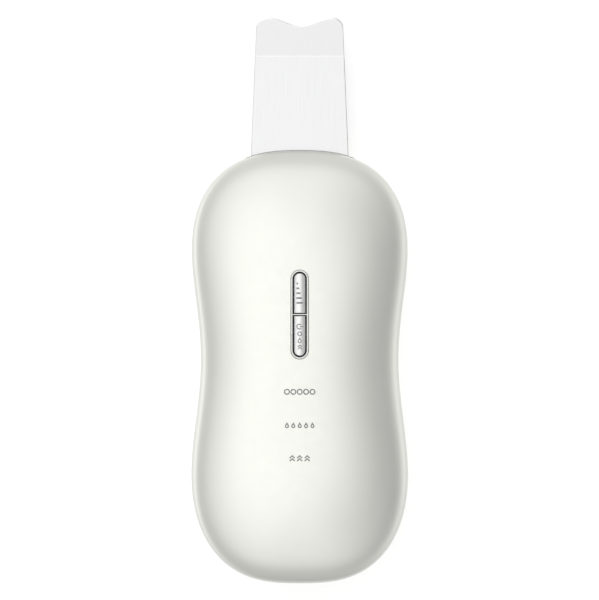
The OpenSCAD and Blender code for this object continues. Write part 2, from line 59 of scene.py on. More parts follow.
# Body: length, greatest width, thickness, depth of the rear shell, wall and open seam
BODY_L = 107.8
BODY_W = 54.0
BODY_T = 21.0
REAR_T = 10.0
WALL = 1.8
SEAM = 0.15
BASE_Y = -70.6
MID_Y = BASE_Y + BODY_L / 2
TOP_Y = BASE_Y + BODY_L

# Outline of the body: powers and corner roundness of both ends, and the drawn-in waist
TOP_END = (3.1, 2.6)
BASE_END = (2.5, 2.8)
PINCH = 0.25
WAIST_U = 0.035
WAIST_REACH = 0.62

# Roundness and full depth of the skins, the straight side under the front dome, and the fall of
# the front crown towards both ends
FRONT_ROUND = 2.3
FRONT_DOME = 7.0
FRONT_SIDE = BODY_T - FRONT_DOME - REAR_T - SEAM
REAR_ROUND = 2.6
REAR_RISE = REAR_T + 2.4
CROWN_FALL = 0.1

# Detail of the skins: points along one side of a ring, and rings from the rim to the crown
STATIONS = 96
LEVELS = 34
RIM_R = 0.22

# Blade
BLADE_REACH = 33.4
BLADE_W = 24.3
TIP_W = 21.5
BLADE_T = 0.5
TIP_L = 9.6
TIP_BEND = math.radians(18)
TIP_DIP = 2.0
BEND_R = 1.3
TANG_W = 8.0
TANG_Y = 28.0
BLADE_ROOT_Y = 33.2
TIP_Y = TOP_Y + BLADE_REACH
EAR_X = 8.0
EAR_DROP = 2.5
BLADE_EDGE_R = 0.12

# Slot in the shells for the blade and its seal, and how far the seal stands out of it
SLOT_HALF_W = BLADE_W / 2 + 1.5
SLOT_HALF_H = 1.6
SLOT_Y = 33.6
SEAL_PLAY = 0.05
SEAL_PROUD = 0.2

# Keys and their frame
KEY_Y = -3.6
KEY_W = 2.7
KEY_ROW_L = 20.4
KEY_L = (KEY_ROW_L - 0.75) / 2
KEY_PITCH = (KEY_ROW_L - KEY_L) / 2
KEY_TOP = BODY_T + 0.3
KEY_CROWN_R = 3.8
KEY_EDGE_R = 0.14
KEY_FOOT_TOP = 18.0
KEY_FOOT_T = 0.7
KEY_FOOT_LIP = 0.9
KEY_SLOT_W = 3.5
KEY_SLOT_L = 21.2
FRAME_RIM = 0.4
FRAME_TOP = BODY_T + 0.15
FRAME_FLANGE = 1.7
FLANGE_Z = (18.1, 19.0)
SEAL_TOP = 20.05
SEAL_STEP = 0.25
BAR_W = 0.25

# Rear shell: contact plate, charging port and screw wells
PLATE_W = 14.0
PLATE_L = 40.0
PLATE_T = 0.5
PLATE_RECESS = 0.1
PORT_SIZE = (8.94, 3.26)
PORT_PLAY = 0.2
PORT_Z = 6.7
SCREW_PLACES = ((17, 20), (-17, 20), (16, -55), (-16, -55))
WELL_R = 2.4
WELL_WALL_R = 3.3
SCREW_SEAT_Z = 4.0
SCREW_HOLE_R = 1.2

# Printed marks
MARK_Y = (-22.75, -31.0, -39.25)
MARK_H = 1.7
INK_T = 0.02

# Light: glow of the table, and the sky as rows of height of a direction (from -1 straight down
# to 1 overhead), level there, extra towards -X, and extra towards both sides. The sky's ramp
# can't hold values under zero, so it holds them all SKY_LIFT higher. SKY_TOP is extra towards +Y.
TABLE_GLOW = 0.47
SKY = (
    (-1.0, 0.92, 0.0, 0.0),
    (-0.5, 0.88, 0.0, -0.2),
    (-0.1, 0.36, 0.2, 0.95),
    (0.15, 0.5, -0.14, 0.3),
    (0.4, 0.53, 0.0, -0.16),
    (0.6, 0.45, 0.16, -0.28),
    (0.78, 1.1, 0.48, -1.4),
    (0.9, 1.15, 0.9, -2.77),
    (0.97, 1.2, 2.3, -1.5),
    (1.0, 1.62, 0.0, 0.0),
)
SKY_LIFT = 3.0
SKY_TOP = 0.14

# Share of the pearl sheen in the white plastic, and the scale of each steel sheet's grain along
# each axis
PEARL = 0.5
BLADE_GRAIN = (5000, 120, 800)
PLATE_GRAIN = (120, 6000, 800)


# ---------------------------------------------------------------- shapes of the body


def raw_outline(u):
    """Half width at u, from -1 at the bottom end to 1 at the blade end, before it is scaled."""
    power = np.where(u > 0, TOP_END[0], BASE_END[0])
    corner = np.where(u > 0, TOP_END[1], BASE_END[1])
    waist = PINCH * np.exp(-(((u - WAIST_U) / WAIST_REACH) ** 2))
    return np.maximum(0, 1 - np.abs(u) ** power) ** (1 / corner) * (1 - waist)


OUTLINE_PEAK = raw_outline(np.sin(np.radians(np.arange(-90, 91)))).max()


def outline(u):
    """Half width at u, as a share of the greatest half width."""
    return raw_outline(u) / OUTLINE_PEAK


def ring_parameters():
    """(u, side) of each point of a ring: up the right-hand side, then back down the left."""
    k = np.arange(2 * STATIONS)
    angle = np.where(k <= STATIONS, 180 * k / STATIONS - 90, 270 - 180 * k / STATIONS)
    return np.sin(np.radians(angle)), np.where(k <= STATIONS, 1.0, -1.0)


def skin_ring(t, inset, rise, roundness, fall=0.0):
    """One ring of a skin as (x, y, lift). t runs from 0 at the rim to 90 degrees at the crown."""
    u, side = ring_parameters()
    half_w = BODY_W / 2 - inset
    half_l = BODY_L / 2 - inset
    shrink = math.cos(math.radians(t)) ** (2 / roundness) if t < 90 else 0.0
    lift = (rise - inset) * math.sin(math.radians(t)) ** (2 / roundness)
    y = u * (half_l - half_w * (1 - shrink))
    x = side * half_w * outline(u) * shrink
    return np.stack([x, MID_Y + y, lift * (1 - fall * (y / half_l) ** 4)], axis=1)


def front_height(x, y):
    """Height of the front face over the point (x, y), in the middle part of the body."""
    half_w, half_l = BODY_W / 2, BODY_L / 2
    low, high = 0.0, 1.0
    for _ in range(30):
        share = (low + high) / 2
        u = np.clip((y - MID_Y) / (half_l - half_w * (1 - share)), -1, 1)
        if share * half_w * outline(u) < abs(x):
            low = share
        else:
            high = share
    lift = FRONT_DOME * (1 - low**FRONT_ROUND) ** (1 / FRONT_ROUND)
    return BODY_T - FRONT_DOME + lift * (1 - CROWN_FALL * ((y - MID_Y) / half_l) ** 4)


def stadium(radius, half_straight, z):
    """A ring with two round ends, long in Y."""
    steps = 24
    points = []
    for end in (1, -1):
        for step in range(steps + 1):
            angle = math.pi * (step / steps + (0 if end > 0 else 1))
            x = radius * math.cos(angle)
            points.append((x, end * half_straight + radius * math.sin(angle), z))
    return points


def circle(radius, z):
    """A round ring at height z."""
    steps = 48
    turns = [2 * math.pi * k / steps for k in range(steps)]
    return [(radius * math.cos(a), radius * math.sin(a), z) for a in turns]


def moved(points, x=0.0, y=0.0):
    """The points, moved within their plane."""
    return [(p[0] + x, p[1] + y, p[2]) for p in points]


# ---------------------------------------------------------------- mesh making


def loft(rings, closed=False, caps=True):
    """Joins rings of equally many points into one skin, as (points, faces)."""
    count = len(rings[0])
    points = [tuple(p) for ring in rings for p in ring]
    faces = []
    for i in range(len(rings) - (0 if closed else 1)):
        a, b = i * count, (i + 1) % len(rings) * count
        for k in range(count):
            n = (k + 1) % count
            faces.append((a + k, a + n, b + n, b + k))
    if caps and not closed:
        last = (len(rings) - 1) * count
        faces.append(tuple(range(count - 1, -1, -1)))
        faces.append(tuple(range(last, last + count)))
    return points, faces


def box(low, high):
    """A box between two corners, as (points, faces)."""
    x, y = (low[0], high[0]), (low[1], high[1])
    corners = [(x[0], y[0]), (x[1], y[0]), (x[1], y[1]), (x[0], y[1])]
    return loft([[(px, py, z) for px, py in corners] for z in (low[2], high[2])])


def mesh_object(name, *parts):
    """One object from (points, faces) parts, its doubled points merged and its faces outwards."""
    mesh = bpy.data.meshes.new(name)
    points, faces = [], []
    for part_points, part_faces in parts:
        start = len(points)
        points += [tuple(c * MM for c in p) for p in part_points]
        faces += [tuple(start + i for i in face) for face in part_faces]
    mesh.from_pydata(points, [], faces)
    work = bmesh.new()
    work.from_mesh(mesh)
    bmesh.ops.remove_doubles(work, verts=work.verts, dist=1e-7)
    bmesh.ops.recalc_face_normals(work, faces=work.faces)
    work.to_mesh(mesh)
    work.free()
    piece = bpy.data.objects.new(name, mesh)
    bpy.context.scene.collection.objects.link(piece)
    return piece


def smooth(piece, angle=38):
    """Smooth shading, with edges kept sharp where faces meet at more than the angle."""
    piece.data.shade_smooth()
    piece.data.set_sharp_from_angle(angle=math.radians(angle))


def carve(piece, cutters):
    """Cuts the cutters out of a piece and keeps the uncut surface's own smooth normals."""
    piece.data.shade_smooth()
    source = piece.data.copy()
    source.calc_loop_triangles()
    triangles = [tuple(t.vertices) for t in source.loop_triangles]
    tree = BVHTree.FromPolygons([v.co for v in source.vertices], triangles)
    for cutter in cutters:
        cut = piece.modifiers.new("cut", "BOOLEAN")
        cut.operation = "DIFFERENCE"
        cut.solver = "EXACT"
        cut.object = cutter
    carved = piece.evaluated_get(bpy.context.evaluated_depsgraph_get())
    piece.data = bpy.data.meshes.new_from_object(carved)
    piece.modifiers.clear()
    for cutter in cutters:
        bpy.data.objects.remove(cutter)
    keep_normals(piece.data, source, triangles, tree)


def keep_normals(mesh, source, triangles, tree):
    """Sets each corner's normal from the nearest point of the source mesh, but not on cut faces."""
    mesh.shade_smooth()
    normals = [Vector((0, 0, 1))] * len(mesh.loops)
    for face in mesh.polygons:
        for loop in face.loop_indices:
            place = mesh.vertices[mesh.loops[loop].vertex_index].co
            found, _, index, distance = tree.find_nearest(place)
            corners = [source.vertices[i] for i in triangles[index]]
            normal = blended_normal(found, corners)
            if distance > 2e-6 or normal.dot(face.normal) < 0.85:
                normal = face.normal
            normals[loop] = normal.copy()
    mesh.normals_split_custom_set(normals)


def blended_normal(place, corners):
    """The normal at a place on a triangle, blended from those of its corners."""
    weights = [
        max(1e-12, (b.co - place).cross(c.co - place).length)
        for b, c in ((corners[1], corners[2]), (corners[2], corners[0]), (corners[0], corners[1]))
    ]
    total = Vector((0, 0, 0))
    for weight, corner in zip(weights, corners):
        total += weight * corner.normal
    return total.normalized()


def place_piece(piece, material, body="handset", stands_for=()):
    """Gives a finished piece its material and material slot, its body, and the nodes it replaces."""
    piece.data.materials.clear()
    piece.data.materials.append(material)
    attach(piece, body)
    if stands_for:
        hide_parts(*stands_for)


# ---------------------------------------------------------------- pieces of the body


def shell_rings(rise, roundness, fall, last_t, sign, base_z, side_h=0.0):
    """Rings of one shell from its inner crown, down its straight side, round the rolled rim and
    up to its outer crown."""

    def at(ring, z):
        ring = ring.copy()
        ring[:, 2] = base_z + sign * z
        return ring

    def skin(t, inset):
        ring = skin_ring(t, inset, rise, roundness, fall)
        return at(ring, side_h + ring[:, 2])

    def rim(inset, z):
        return at(skin_ring(0, inset, rise, roundness), z)

    reach = 1 if last_t == 90 else (REAR_T - WALL) / (rise - WALL)
    inner_end = math.degrees(math.asin(reach ** (roundness / 2)))
    rings = [skin(inner_end * i / 14, WALL) for i in range(14, -1, -1)]
    first_t = math.degrees(math.asin((RIM_R / rise) ** (roundness / 2)))
    if side_h:
        rings.append(rim(WALL, 0))
        first_t = 0
    for turn in np.linspace(0, math.pi / 2, 5):
        rings.append(rim(RIM_R * (1 - math.sin(turn)), RIM_R * (1 - math.cos(turn))))
    if side_h:
        rings.append(skin(0, 0))
    rings += [skin(first_t + (last_t - first_t) * i / LEVELS, 0) for i in range(1, LEVELS + 1)]
    return rings


def key_cutter():
    """The opening for the key frame, with a soft edge at the front face."""
    opening_r = KEY_SLOT_W / 2 + FRAME_RIM
    straight = (KEY_SLOT_L - KEY_SLOT_W) / 2
    profile = ((0.05, BODY_T - 4), (0.05, BODY_T - 0.25), (0.18, BODY_T + 0.05), (0.18, BODY_T + 3))
    rings = [moved(stadium(opening_r + play, straight, z), y=KEY_Y) for play, z in profile]
    return mesh_object("cut_keys", loft(rings))


def front_shell(material):
    """The domed front with the openings for the keys and the blade."""
    base_z = REAR_T + SEAM
    rings = shell_rings(FRONT_DOME, FRONT_ROUND, CROWN_FALL, 90, 1, base_z, FRONT_SIDE)
    piece = mesh_object("front_skin", loft(rings, caps=False))
    carve(piece, [key_cutter(), blade_slot_cutter()])
    place_piece(piece, material, stands_for=["front_shell"])


def blade_slot_cutter():
    """The slot at the top end that both shells leave for the blade and its seal."""
    low = (-SLOT_HALF_W, SLOT_Y, REAR_T - SLOT_HALF_H)
    high = (SLOT_HALF_W, SLOT_Y + BODY_L, REAR_T + SLOT_HALF_H)
    return mesh_object("cut_slot", box(low, high))


def port_cutter():
    """The charging port's rounded opening, with a small flare at the outer surface."""
    width, height = PORT_SIZE[0] + 2 * PORT_PLAY, PORT_SIZE[1] + 2 * PORT_PLAY
    rings = []
    for y, grow in ((BASE_Y - 2, 1.2), (BASE_Y + 0.6, 0.0), (BASE_Y + 5, 0.0)):
        flat = stadium(height / 2 + grow, (width - height) / 2, 0)
        rings.append([(p[1], y, PORT_Z + p[0]) for p in flat])
    return mesh_object("cut_port", loft(rings))


def plate_cutter():
    """The shallow pocket in the back for the contact plate."""
    play = 0.1
    straight = (PLATE_L - PLATE_W) / 2
    depths = (-1.0, PLATE_RECESS + PLATE_T + 0.05)
    rings = [moved(stadium(PLATE_W / 2 + play, straight, z), y=MID_Y) for z in depths]
    return mesh_object("cut_plate", loft(rings))


def well_cutter(x, y):
    """The round hole of one screw well, flared where it meets the back. No ring of it lies in the
    plane of the back, because the cut would leave cracks there."""
    profile = ((0.35, -1.0), (0.35, -0.05), (0.0, 0.3), (0.0, WALL + 1))
    rings = [moved(circle(WELL_R + flare, z), x, y) for flare, z in profile]
    return mesh_object("cut_well", loft(rings))


def rear_shell(material):
    """The rounded back. Its outer and inner flats close on the middle line, and a border ring in
    the outer flat keeps the shading of its edge narrow."""
    last_t = math.degrees(math.asin((REAR_T / REAR_RISE) ** (REAR_ROUND / 2)))
    rings = shell_rings(REAR_RISE, REAR_ROUND, 0.0, last_t, -1, REAR_T)
    border = rings[-1] * np.array([0.96, 1.0, 1.0])
    border[:, 1] = MID_Y + (rings[-1][:, 1] - MID_Y) * 0.985
    onto_line = np.array([0.0, 1.0, 1.0])
    skin = [rings[0] * onto_line] + rings + [border, border * onto_line]
    piece = mesh_object("rear_skin", loft(skin, caps=False))
    cutters = [blade_slot_cutter(), port_cutter(), plate_cutter()]
    cutters += [well_cutter(x, y) for x, y in SCREW_PLACES]
    carve(piece, cutters)
    place_piece(piece, material, stands_for=["rear_shell"])


def screw_wells(material):
    """The four tubes in which the shell screws sit, behind the round holes of the rear shell."""
    low, high = WALL - 0.3, REAR_T - 1.3
    section = ((WELL_R, low), (WELL_R, SCREW_SEAT_Z), (SCREW_HOLE_R, SCREW_SEAT_Z),
               (SCREW_HOLE_R, high), (WELL_WALL_R, high), (WELL_WALL_R, low))
    tubes = []
    for x, y in SCREW_PLACES:
        tubes.append(loft([moved(circle(r, z), x, y) for r, z in section], closed=True))
    piece = mesh_object("screw_wells", *tubes)
    smooth(piece)
    place_piece(piece, material)


# ---------------------------------------------------------------- blade


def blade_half_width(y):
    """Half width of the blade at y: its tang, its root, then an even taper from the body on."""
    if y < BLADE_ROOT_Y - 1:
        return TANG_W / 2
    if y < BLADE_ROOT_Y:
        return TANG_W / 2 + (y - BLADE_ROOT_Y + 1)
    if y < BLADE_ROOT_Y + 1:
        return BLADE_W / 2 - 1 + (y - BLADE_ROOT_Y)
    return (BLADE_W + (TIP_W - BLADE_W) * max(0, y - TOP_Y) / BLADE_REACH) / 2


def tip_edge(x, inset):
    """Where the tip edge lies at x: a shallow hollow between two rounded ears."""
    end = TIP_Y - BLADE_T / 2 * math.sin(TIP_BEND) - inset
    if abs(x) < EAR_X:
        return end - TIP_DIP * (1 + math.cos(math.pi * x / EAR_X)) / 2
    reach = min(1, (abs(x) - EAR_X) / (TIP_W / 2 - inset - EAR_X))
    return end - EAR_DROP * (1 - math.sqrt(1 - reach * reach))


def bent(x, y, height):
    """A point of the flat blade pattern, after the tip is bent up round a small radius."""
    start = TIP_Y - TIP_L - BEND_R * math.tan(TIP_BEND / 2)
    angle = math.asin(min(math.sin(TIP_BEND), max(0, (y - start) / BEND_R)))
    past = max(0, y - start - BEND_R * math.sin(TIP_BEND))
    middle = REAR_T + BEND_R * (1 - math.cos(angle)) + past * math.tan(TIP_BEND)
    return (x, y - height * math.sin(angle), middle + height * math.cos(angle))


def blade_grid(inset, height):
    """Rows of points across the blade, from its tang to its tip edge. They lie close together at
    the steps of its root and round the bend, and fan out to the hollow of the tip."""
    bend = TIP_Y - TIP_L
    rows = [TANG_Y + inset, BLADE_ROOT_Y - 1.01, BLADE_ROOT_Y - 0.01, BLADE_ROOT_Y + 0.01]
    rows += [BLADE_ROOT_Y + 1, TOP_Y]
    rows += list(np.linspace(TOP_Y, bend - 0.5, 7)[1:])
    rows += list(np.linspace(bend - 0.5, bend + 0.5, 11)[1:])
    start = TIP_Y - 6
    shares = list(np.linspace(0, 1, 9) ** 0.7)
    across = np.sin(np.linspace(-1, 1, 61) * math.pi / 2)
    grid = []
    for y in rows:
        half = blade_half_width(y) - inset
        grid.append([bent(c * half, y, height) for c in across])
    half = TIP_W / 2 - inset
    for share in shares:
        row = []
        for c in across:
            y = start + (tip_edge(c * half, inset) - start) * share
            row.append(bent(c * (blade_half_width(y) - inset), y, height))
        grid.append(row)
    return grid


def grid_border(grid):
    """The border of a grid of points as one closed ring."""
    right = [row[-1] for row in grid[1:-1]]
    left = [row[0] for row in reversed(grid[1:-1])]
    return grid[0] + right + grid[-1][::-1] + left


def grid_faces(grid):
    """A grid of points as (points, faces)."""
    width = len(grid[0])
    points = [p for row in grid for p in row]
    faces = []
    for i in range(len(grid) - 1):
        for k in range(width - 1):
            a = i * width + k
            faces.append((a, a + 1, a + width + 1, a + width))
    return points, faces


def blade(material):
    """The bent sheet, with softened edges all round."""
    half = BLADE_T / 2
    soft = BLADE_EDGE_R
    edge = ((soft, half), (soft * 0.3, half - soft * 0.3), (0.0, half - soft),
            (0.0, soft - half), (soft * 0.3, soft * 0.3 - half), (soft, -half))
    borders = [grid_border(blade_grid(inset, height)) for inset, height in edge]
    parts = [loft(borders, caps=False)]
    parts += [grid_faces(blade_grid(soft, side * half)) for side in (1, -1)]
    piece = mesh_object("blade_sheet", *parts)
    smooth(piece, 32)
    place_piece(piece, material, stands_for=["blade"])


def rim_y(x):
    """Where the rim of the shells lies over x, at the blade end."""
    u = np.sin(np.radians(np.linspace(90, 60, 61)))
    return float(np.interp(abs(x), BODY_W / 2 * outline(u), MID_Y + u * BODY_L / 2))


def seal_ring(half_w, half_h, proud=None):
    """An upright ring round the blade: proud of the rim of the shells, or else at its root."""
    across = np.linspace(-1, 1, 33)
    plan = [(c * half_w, half_h) for c in across] + [(-c * half_w, -half_h) for c in across]
    root = SLOT_Y + SEAL_PLAY
    return [(x, root if proud is None else rim_y(x) + proud, REAR_T + z) for x, z in plan]


def blade_seal(material):
    """The collar round the blade, with soft edges where it stands out of the shells."""
    soft = 0.06
    inner = (BLADE_W / 2 + 0.03, BLADE_T / 2 + 0.03)
    outer = (SLOT_HALF_W - SEAL_PLAY, SLOT_HALF_H - SEAL_PLAY)
    rings = [
        seal_ring(*inner),
        seal_ring(*inner, SEAL_PROUD - soft),
        seal_ring(inner[0] + soft, inner[1] + soft, SEAL_PROUD),
        seal_ring(outer[0] - soft, outer[1] - soft, SEAL_PROUD),
        seal_ring(*outer, SEAL_PROUD - soft),
        seal_ring(*outer),
    ]
    piece = mesh_object("blade_collar", loft(rings, closed=True))
    smooth(piece)
    place_piece(piece, material, stands_for=["blade_seal"])


# ---------------------------------------------------------------- keys and their frame


def key_frame(material):
    """The slim bezel round both keys, with its hidden flange and the bar between the keys."""
    soft = 0.16
    lip = [(soft * (1 - math.cos(a)), FRAME_TOP - soft * (1 - math.sin(a)))
           for a in np.linspace(0, math.pi / 2, 5)]
    outer = [(FRAME_RIM - d, z) for d, z in reversed(lip)]
    section = [(0, SEAL_TOP)] + lip + outer
    section += [(FRAME_RIM, FLANGE_Z[1]), (FRAME_RIM + FRAME_FLANGE, FLANGE_Z[1]),
                (FRAME_RIM + FRAME_FLANGE, FLANGE_Z[0]), (SEAL_STEP, FLANGE_Z[0]), (SEAL_STEP, SEAL_TOP)]
    straight = (KEY_SLOT_L - KEY_SLOT_W) / 2
    rings = [moved(stadium(KEY_SLOT_W / 2 + d, straight, z), y=KEY_Y) for d, z in section]
    bar_rings = []
    for grow, z in ((0.0, SEAL_TOP), (0.0, FRAME_TOP - 0.18), (-0.05, FRAME_TOP - 0.1)):
        half = BAR_W / 2 + grow
        x = KEY_SLOT_W / 2 + 0.05
        bar_rings.append([(-x, KEY_Y - half, z), (x, KEY_Y - half, z),
                          (x, KEY_Y + half, z), (-x, KEY_Y + half, z)])
    piece = mesh_object("key_bezel", loft(rings, closed=True), loft(bar_rings))
    smooth(piece)
    place_piece(piece, material, stands_for=["key_frame"])


def key_ring(inset, drop, z=None):
    """A ring of a key's plan, moved inwards: round at its outer end and square at its inner end.
    Its height follows the crowned top, lowered by drop, unless z is given."""
    half = KEY_W / 2 - inset
    low = -KEY_L / 2 + inset
    centre = KEY_L / 2 - KEY_W / 2
    across, along, turns = 6, 10, 24
    plan = [(half * (2 * k / across - 1), low) for k in range(across)]
    plan += [(half, low + (centre - low) * k / along) for k in range(along)]
    plan += [(half * math.cos(math.pi * k / turns), centre + half * math.sin(math.pi * k / turns))
             for k in range(turns)]
    plan += [(-half, centre - (centre - low) * k / along) for k in range(along)]
    crown = KEY_TOP - KEY_CROWN_R - drop
    return [(x, y, crown + math.sqrt(KEY_CROWN_R**2 - x * x) if z is None else z) for x, y in plan]


def key(name, body, end, material):
    """One crowned key with a soft edge, over the foot that holds it under its frame."""
    rings = [key_ring(0, 0, KEY_FOOT_TOP - KEY_FOOT_T)]
    for angle in np.linspace(0, math.pi / 2, 5):
        rings.append(key_ring(KEY_EDGE_R * (1 - math.cos(angle)), KEY_EDGE_R * (1 - math.sin(angle))))
    for inset in np.linspace(KEY_EDGE_R, KEY_W / 2, 7)[1:]:
        rings.append(key_ring(inset, 0))
    points, faces = loft(rings)
    faces.pop()
    half_w, half_l = KEY_W / 2 + KEY_FOOT_LIP, KEY_L / 2
    foot = box((-half_w, -half_l, KEY_FOOT_TOP - KEY_FOOT_T), (half_w, half_l, KEY_FOOT_TOP))
    turned = []
    for part_points, part_faces in ((points, faces), foot):
        turned.append(([on_key(p, end) for p in part_points], part_faces))
    piece = mesh_object(name, *turned)
    smooth(piece)
    place_piece(piece, material, body, stands_for=[body])


def on_key(point, end):
    """A point of a key's own plan, at the upper key (end 1) or turned round at the lower one."""
    return (end * point[0], KEY_Y + end * KEY_PITCH + end * point[1], point[2])


def contact_plate(material):
    """The polished plate let into the back, with a rolled edge."""
    soft = 0.18
    straight = (PLATE_L - PLATE_W) / 2
    low = PLATE_RECESS
    profile = [(PLATE_W / 2, low + PLATE_T), (0, low + PLATE_T)]
    profile += [(soft * (1 - math.sin(a)), low + soft * (1 - math.cos(a)))
                for a in np.linspace(math.pi / 2, 0, 5)]
    profile += [(1.0, low), (PLATE_W / 2, low)]
    rings = [moved(stadium(PLATE_W / 2 - d, straight, z), y=MID_Y) for d, z in profile]
    piece = mesh_object("contact_sheet", loft(rings, caps=False))
    smooth(piece)
    place_piece(piece, material, stands_for=["contact_plate"])


def tongue_pads(material):
    """Twelve gilt pads on each face of the charging socket's tongue."""
    low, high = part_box("charge_tongue")
    count, pitch, half_w, length, half_t = 12, 0.5, 0.13, 3.2, 0.02
    front = low.y / MM + 0.3
    pads = []
    for row in range(count):
        x = (row - (count - 1) / 2) * pitch
        for z in (high.z / MM, low.z / MM):
            pads.append(box((x - half_w, front, z - half_t), (x + half_w, front + length, z + half_t)))
    piece = mesh_object("tongue_pads", *pads)
    place_piece(piece, material)


# ---------------------------------------------------------------- printed marks


def band(path, width, closed):
    """Both edges of a line of the given width along a path, with mitred corners."""
    path = [Vector(p) for p in path]
    count = len(path)
    sides = ([], [])
    for k, here in enumerate(path):
        before = path[k - 1] if closed or k else here
        after = path[(k + 1) % count] if closed or k < count - 1 else here
        ways = [d.normalized() for d in (here - before, after - here) if d.length > 1e-9]
        way = sum(ways, Vector((0, 0))).normalized()
        across = Vector((-way.y, way.x)) * (width / 2 / max(0.5, way.dot(ways[0])))
        sides[0].append(here + across)
        sides[1].append(here - across)
    return sides


def ink_line(path, width, height, closed=False):
    """A raised line of ink on the surface that height(x, y) gives, as (points, faces)."""
    left, right = band(path, width, closed)
    rings = []
    for a, b in zip(left, right):
        section = []
        for point, rise in ((a, INK_T), (b, INK_T), (b, -INK_T), (a, -INK_T)):
            section.append((point.x, point.y, height(point.x, point.y) + rise))
        rings.append(section)
    return loft(rings, closed=closed, caps=not closed)


def arc(x, y, radius, start, end, steps=16):
    """Points along an arc round (x, y), between two angles in degrees."""
    turns = np.radians(np.linspace(start, end, steps + 1))
    return [(x + radius * math.cos(a), y + radius * math.sin(a)) for a in turns]


def bubble(x, y, size, width, height):
    """A ring, as one closed line."""
    radius = size / 2 - width / 2
    return [ink_line(arc(x, y, radius, 0, 360, 24)[:-1], width, height, closed=True)]


def droplet(x, y, size, width, height):
    """A drop with its point up, as one closed line."""
    radius = size * 0.34 - width / 2
    low = y - size / 2 + radius + width / 2
    side = arc(x, low, radius, 152, 388, 20)
    return [ink_line(side + [(x, y + size / 2 - width)], width, height, closed=True)]


def chevron(x, y, size, width, height):
    """A double arrow head that points up."""
    half = size * 0.42
    lines = []
    for rise in (-0.24 * size, 0.24 * size):
        path = [(x - half, y + rise - size * 0.2), (x, y + rise + size * 0.2),
                (x + half, y + rise - size * 0.2)]
        lines.append(ink_line(path, width, height))
    return lines


def mode_marks(material):
    """Three rows over the indicator lamps: bubbles to clean, drops to moisten, arrows to lift."""
    rows = ((bubble, 5, 1.58), (droplet, 5, 1.58), (chevron, 3, 1.85))
    width = 0.3
    for name, (shape, count, pitch), y in zip(("clean_mark", "moist_mark", "lift_mark"), rows, MARK_Y):
        lines = []
        for k in range(count):
            lines += shape((k - (count - 1) / 2) * pitch, y, MARK_H * 0.88, width, front_height)
        piece = mesh_object(name, *lines)
        place_piece(piece, material)


def rung(start, end, y):
    """A straight path across a key, with points enough to follow its crown."""
    return [(x, y) for x in np.linspace(start, end, 9)]


def key_height(x, y):
    """Height of a key's crowned top over the point (x, y). It is the same all along the key."""
    return KEY_TOP - KEY_CROWN_R + math.sqrt(KEY_CROWN_R**2 - x * x)


def level_mark(material):
    """Five rising bars on the upper key, read with the blade to the left."""
    width = 0.42
    count, pitch = 5, 1.2
    foot = -0.8
    shortest, growth = 0.4, 0.3
    top = KEY_Y + KEY_PITCH + 2.4
    lines = []
    for step in range(count):
        end = foot + shortest + growth * step
        lines.append(ink_line(rung(foot, end, top - pitch * step), width, key_height))
    piece = mesh_object("level_mark", *lines)
    place_piece(piece, material, "level_key")


def mode_mark(material):
    """A power sign and the three mode signs in small, down the lower key."""
    width = 0.24
    top = KEY_Y - KEY_PITCH + 2.3
    lines = [ink_line(arc(-0.1, top, 0.6, 40, 320), width, key_height)]
    lines.append(ink_line(rung(0.1, 0.85, top), width, key_height))
    lines += bubble(0, top - 1.8, 1.2, width, key_height)
    lines += droplet(0, top - 3.4, 1.5, width, key_height)
    lines += chevron(0, top - 5.1, 1.25, width, key_height)
    piece = mesh_object("mode_mark", *lines)
    place_piece(piece, material, "mode_key")


# ---------------------------------------------------------------- materials


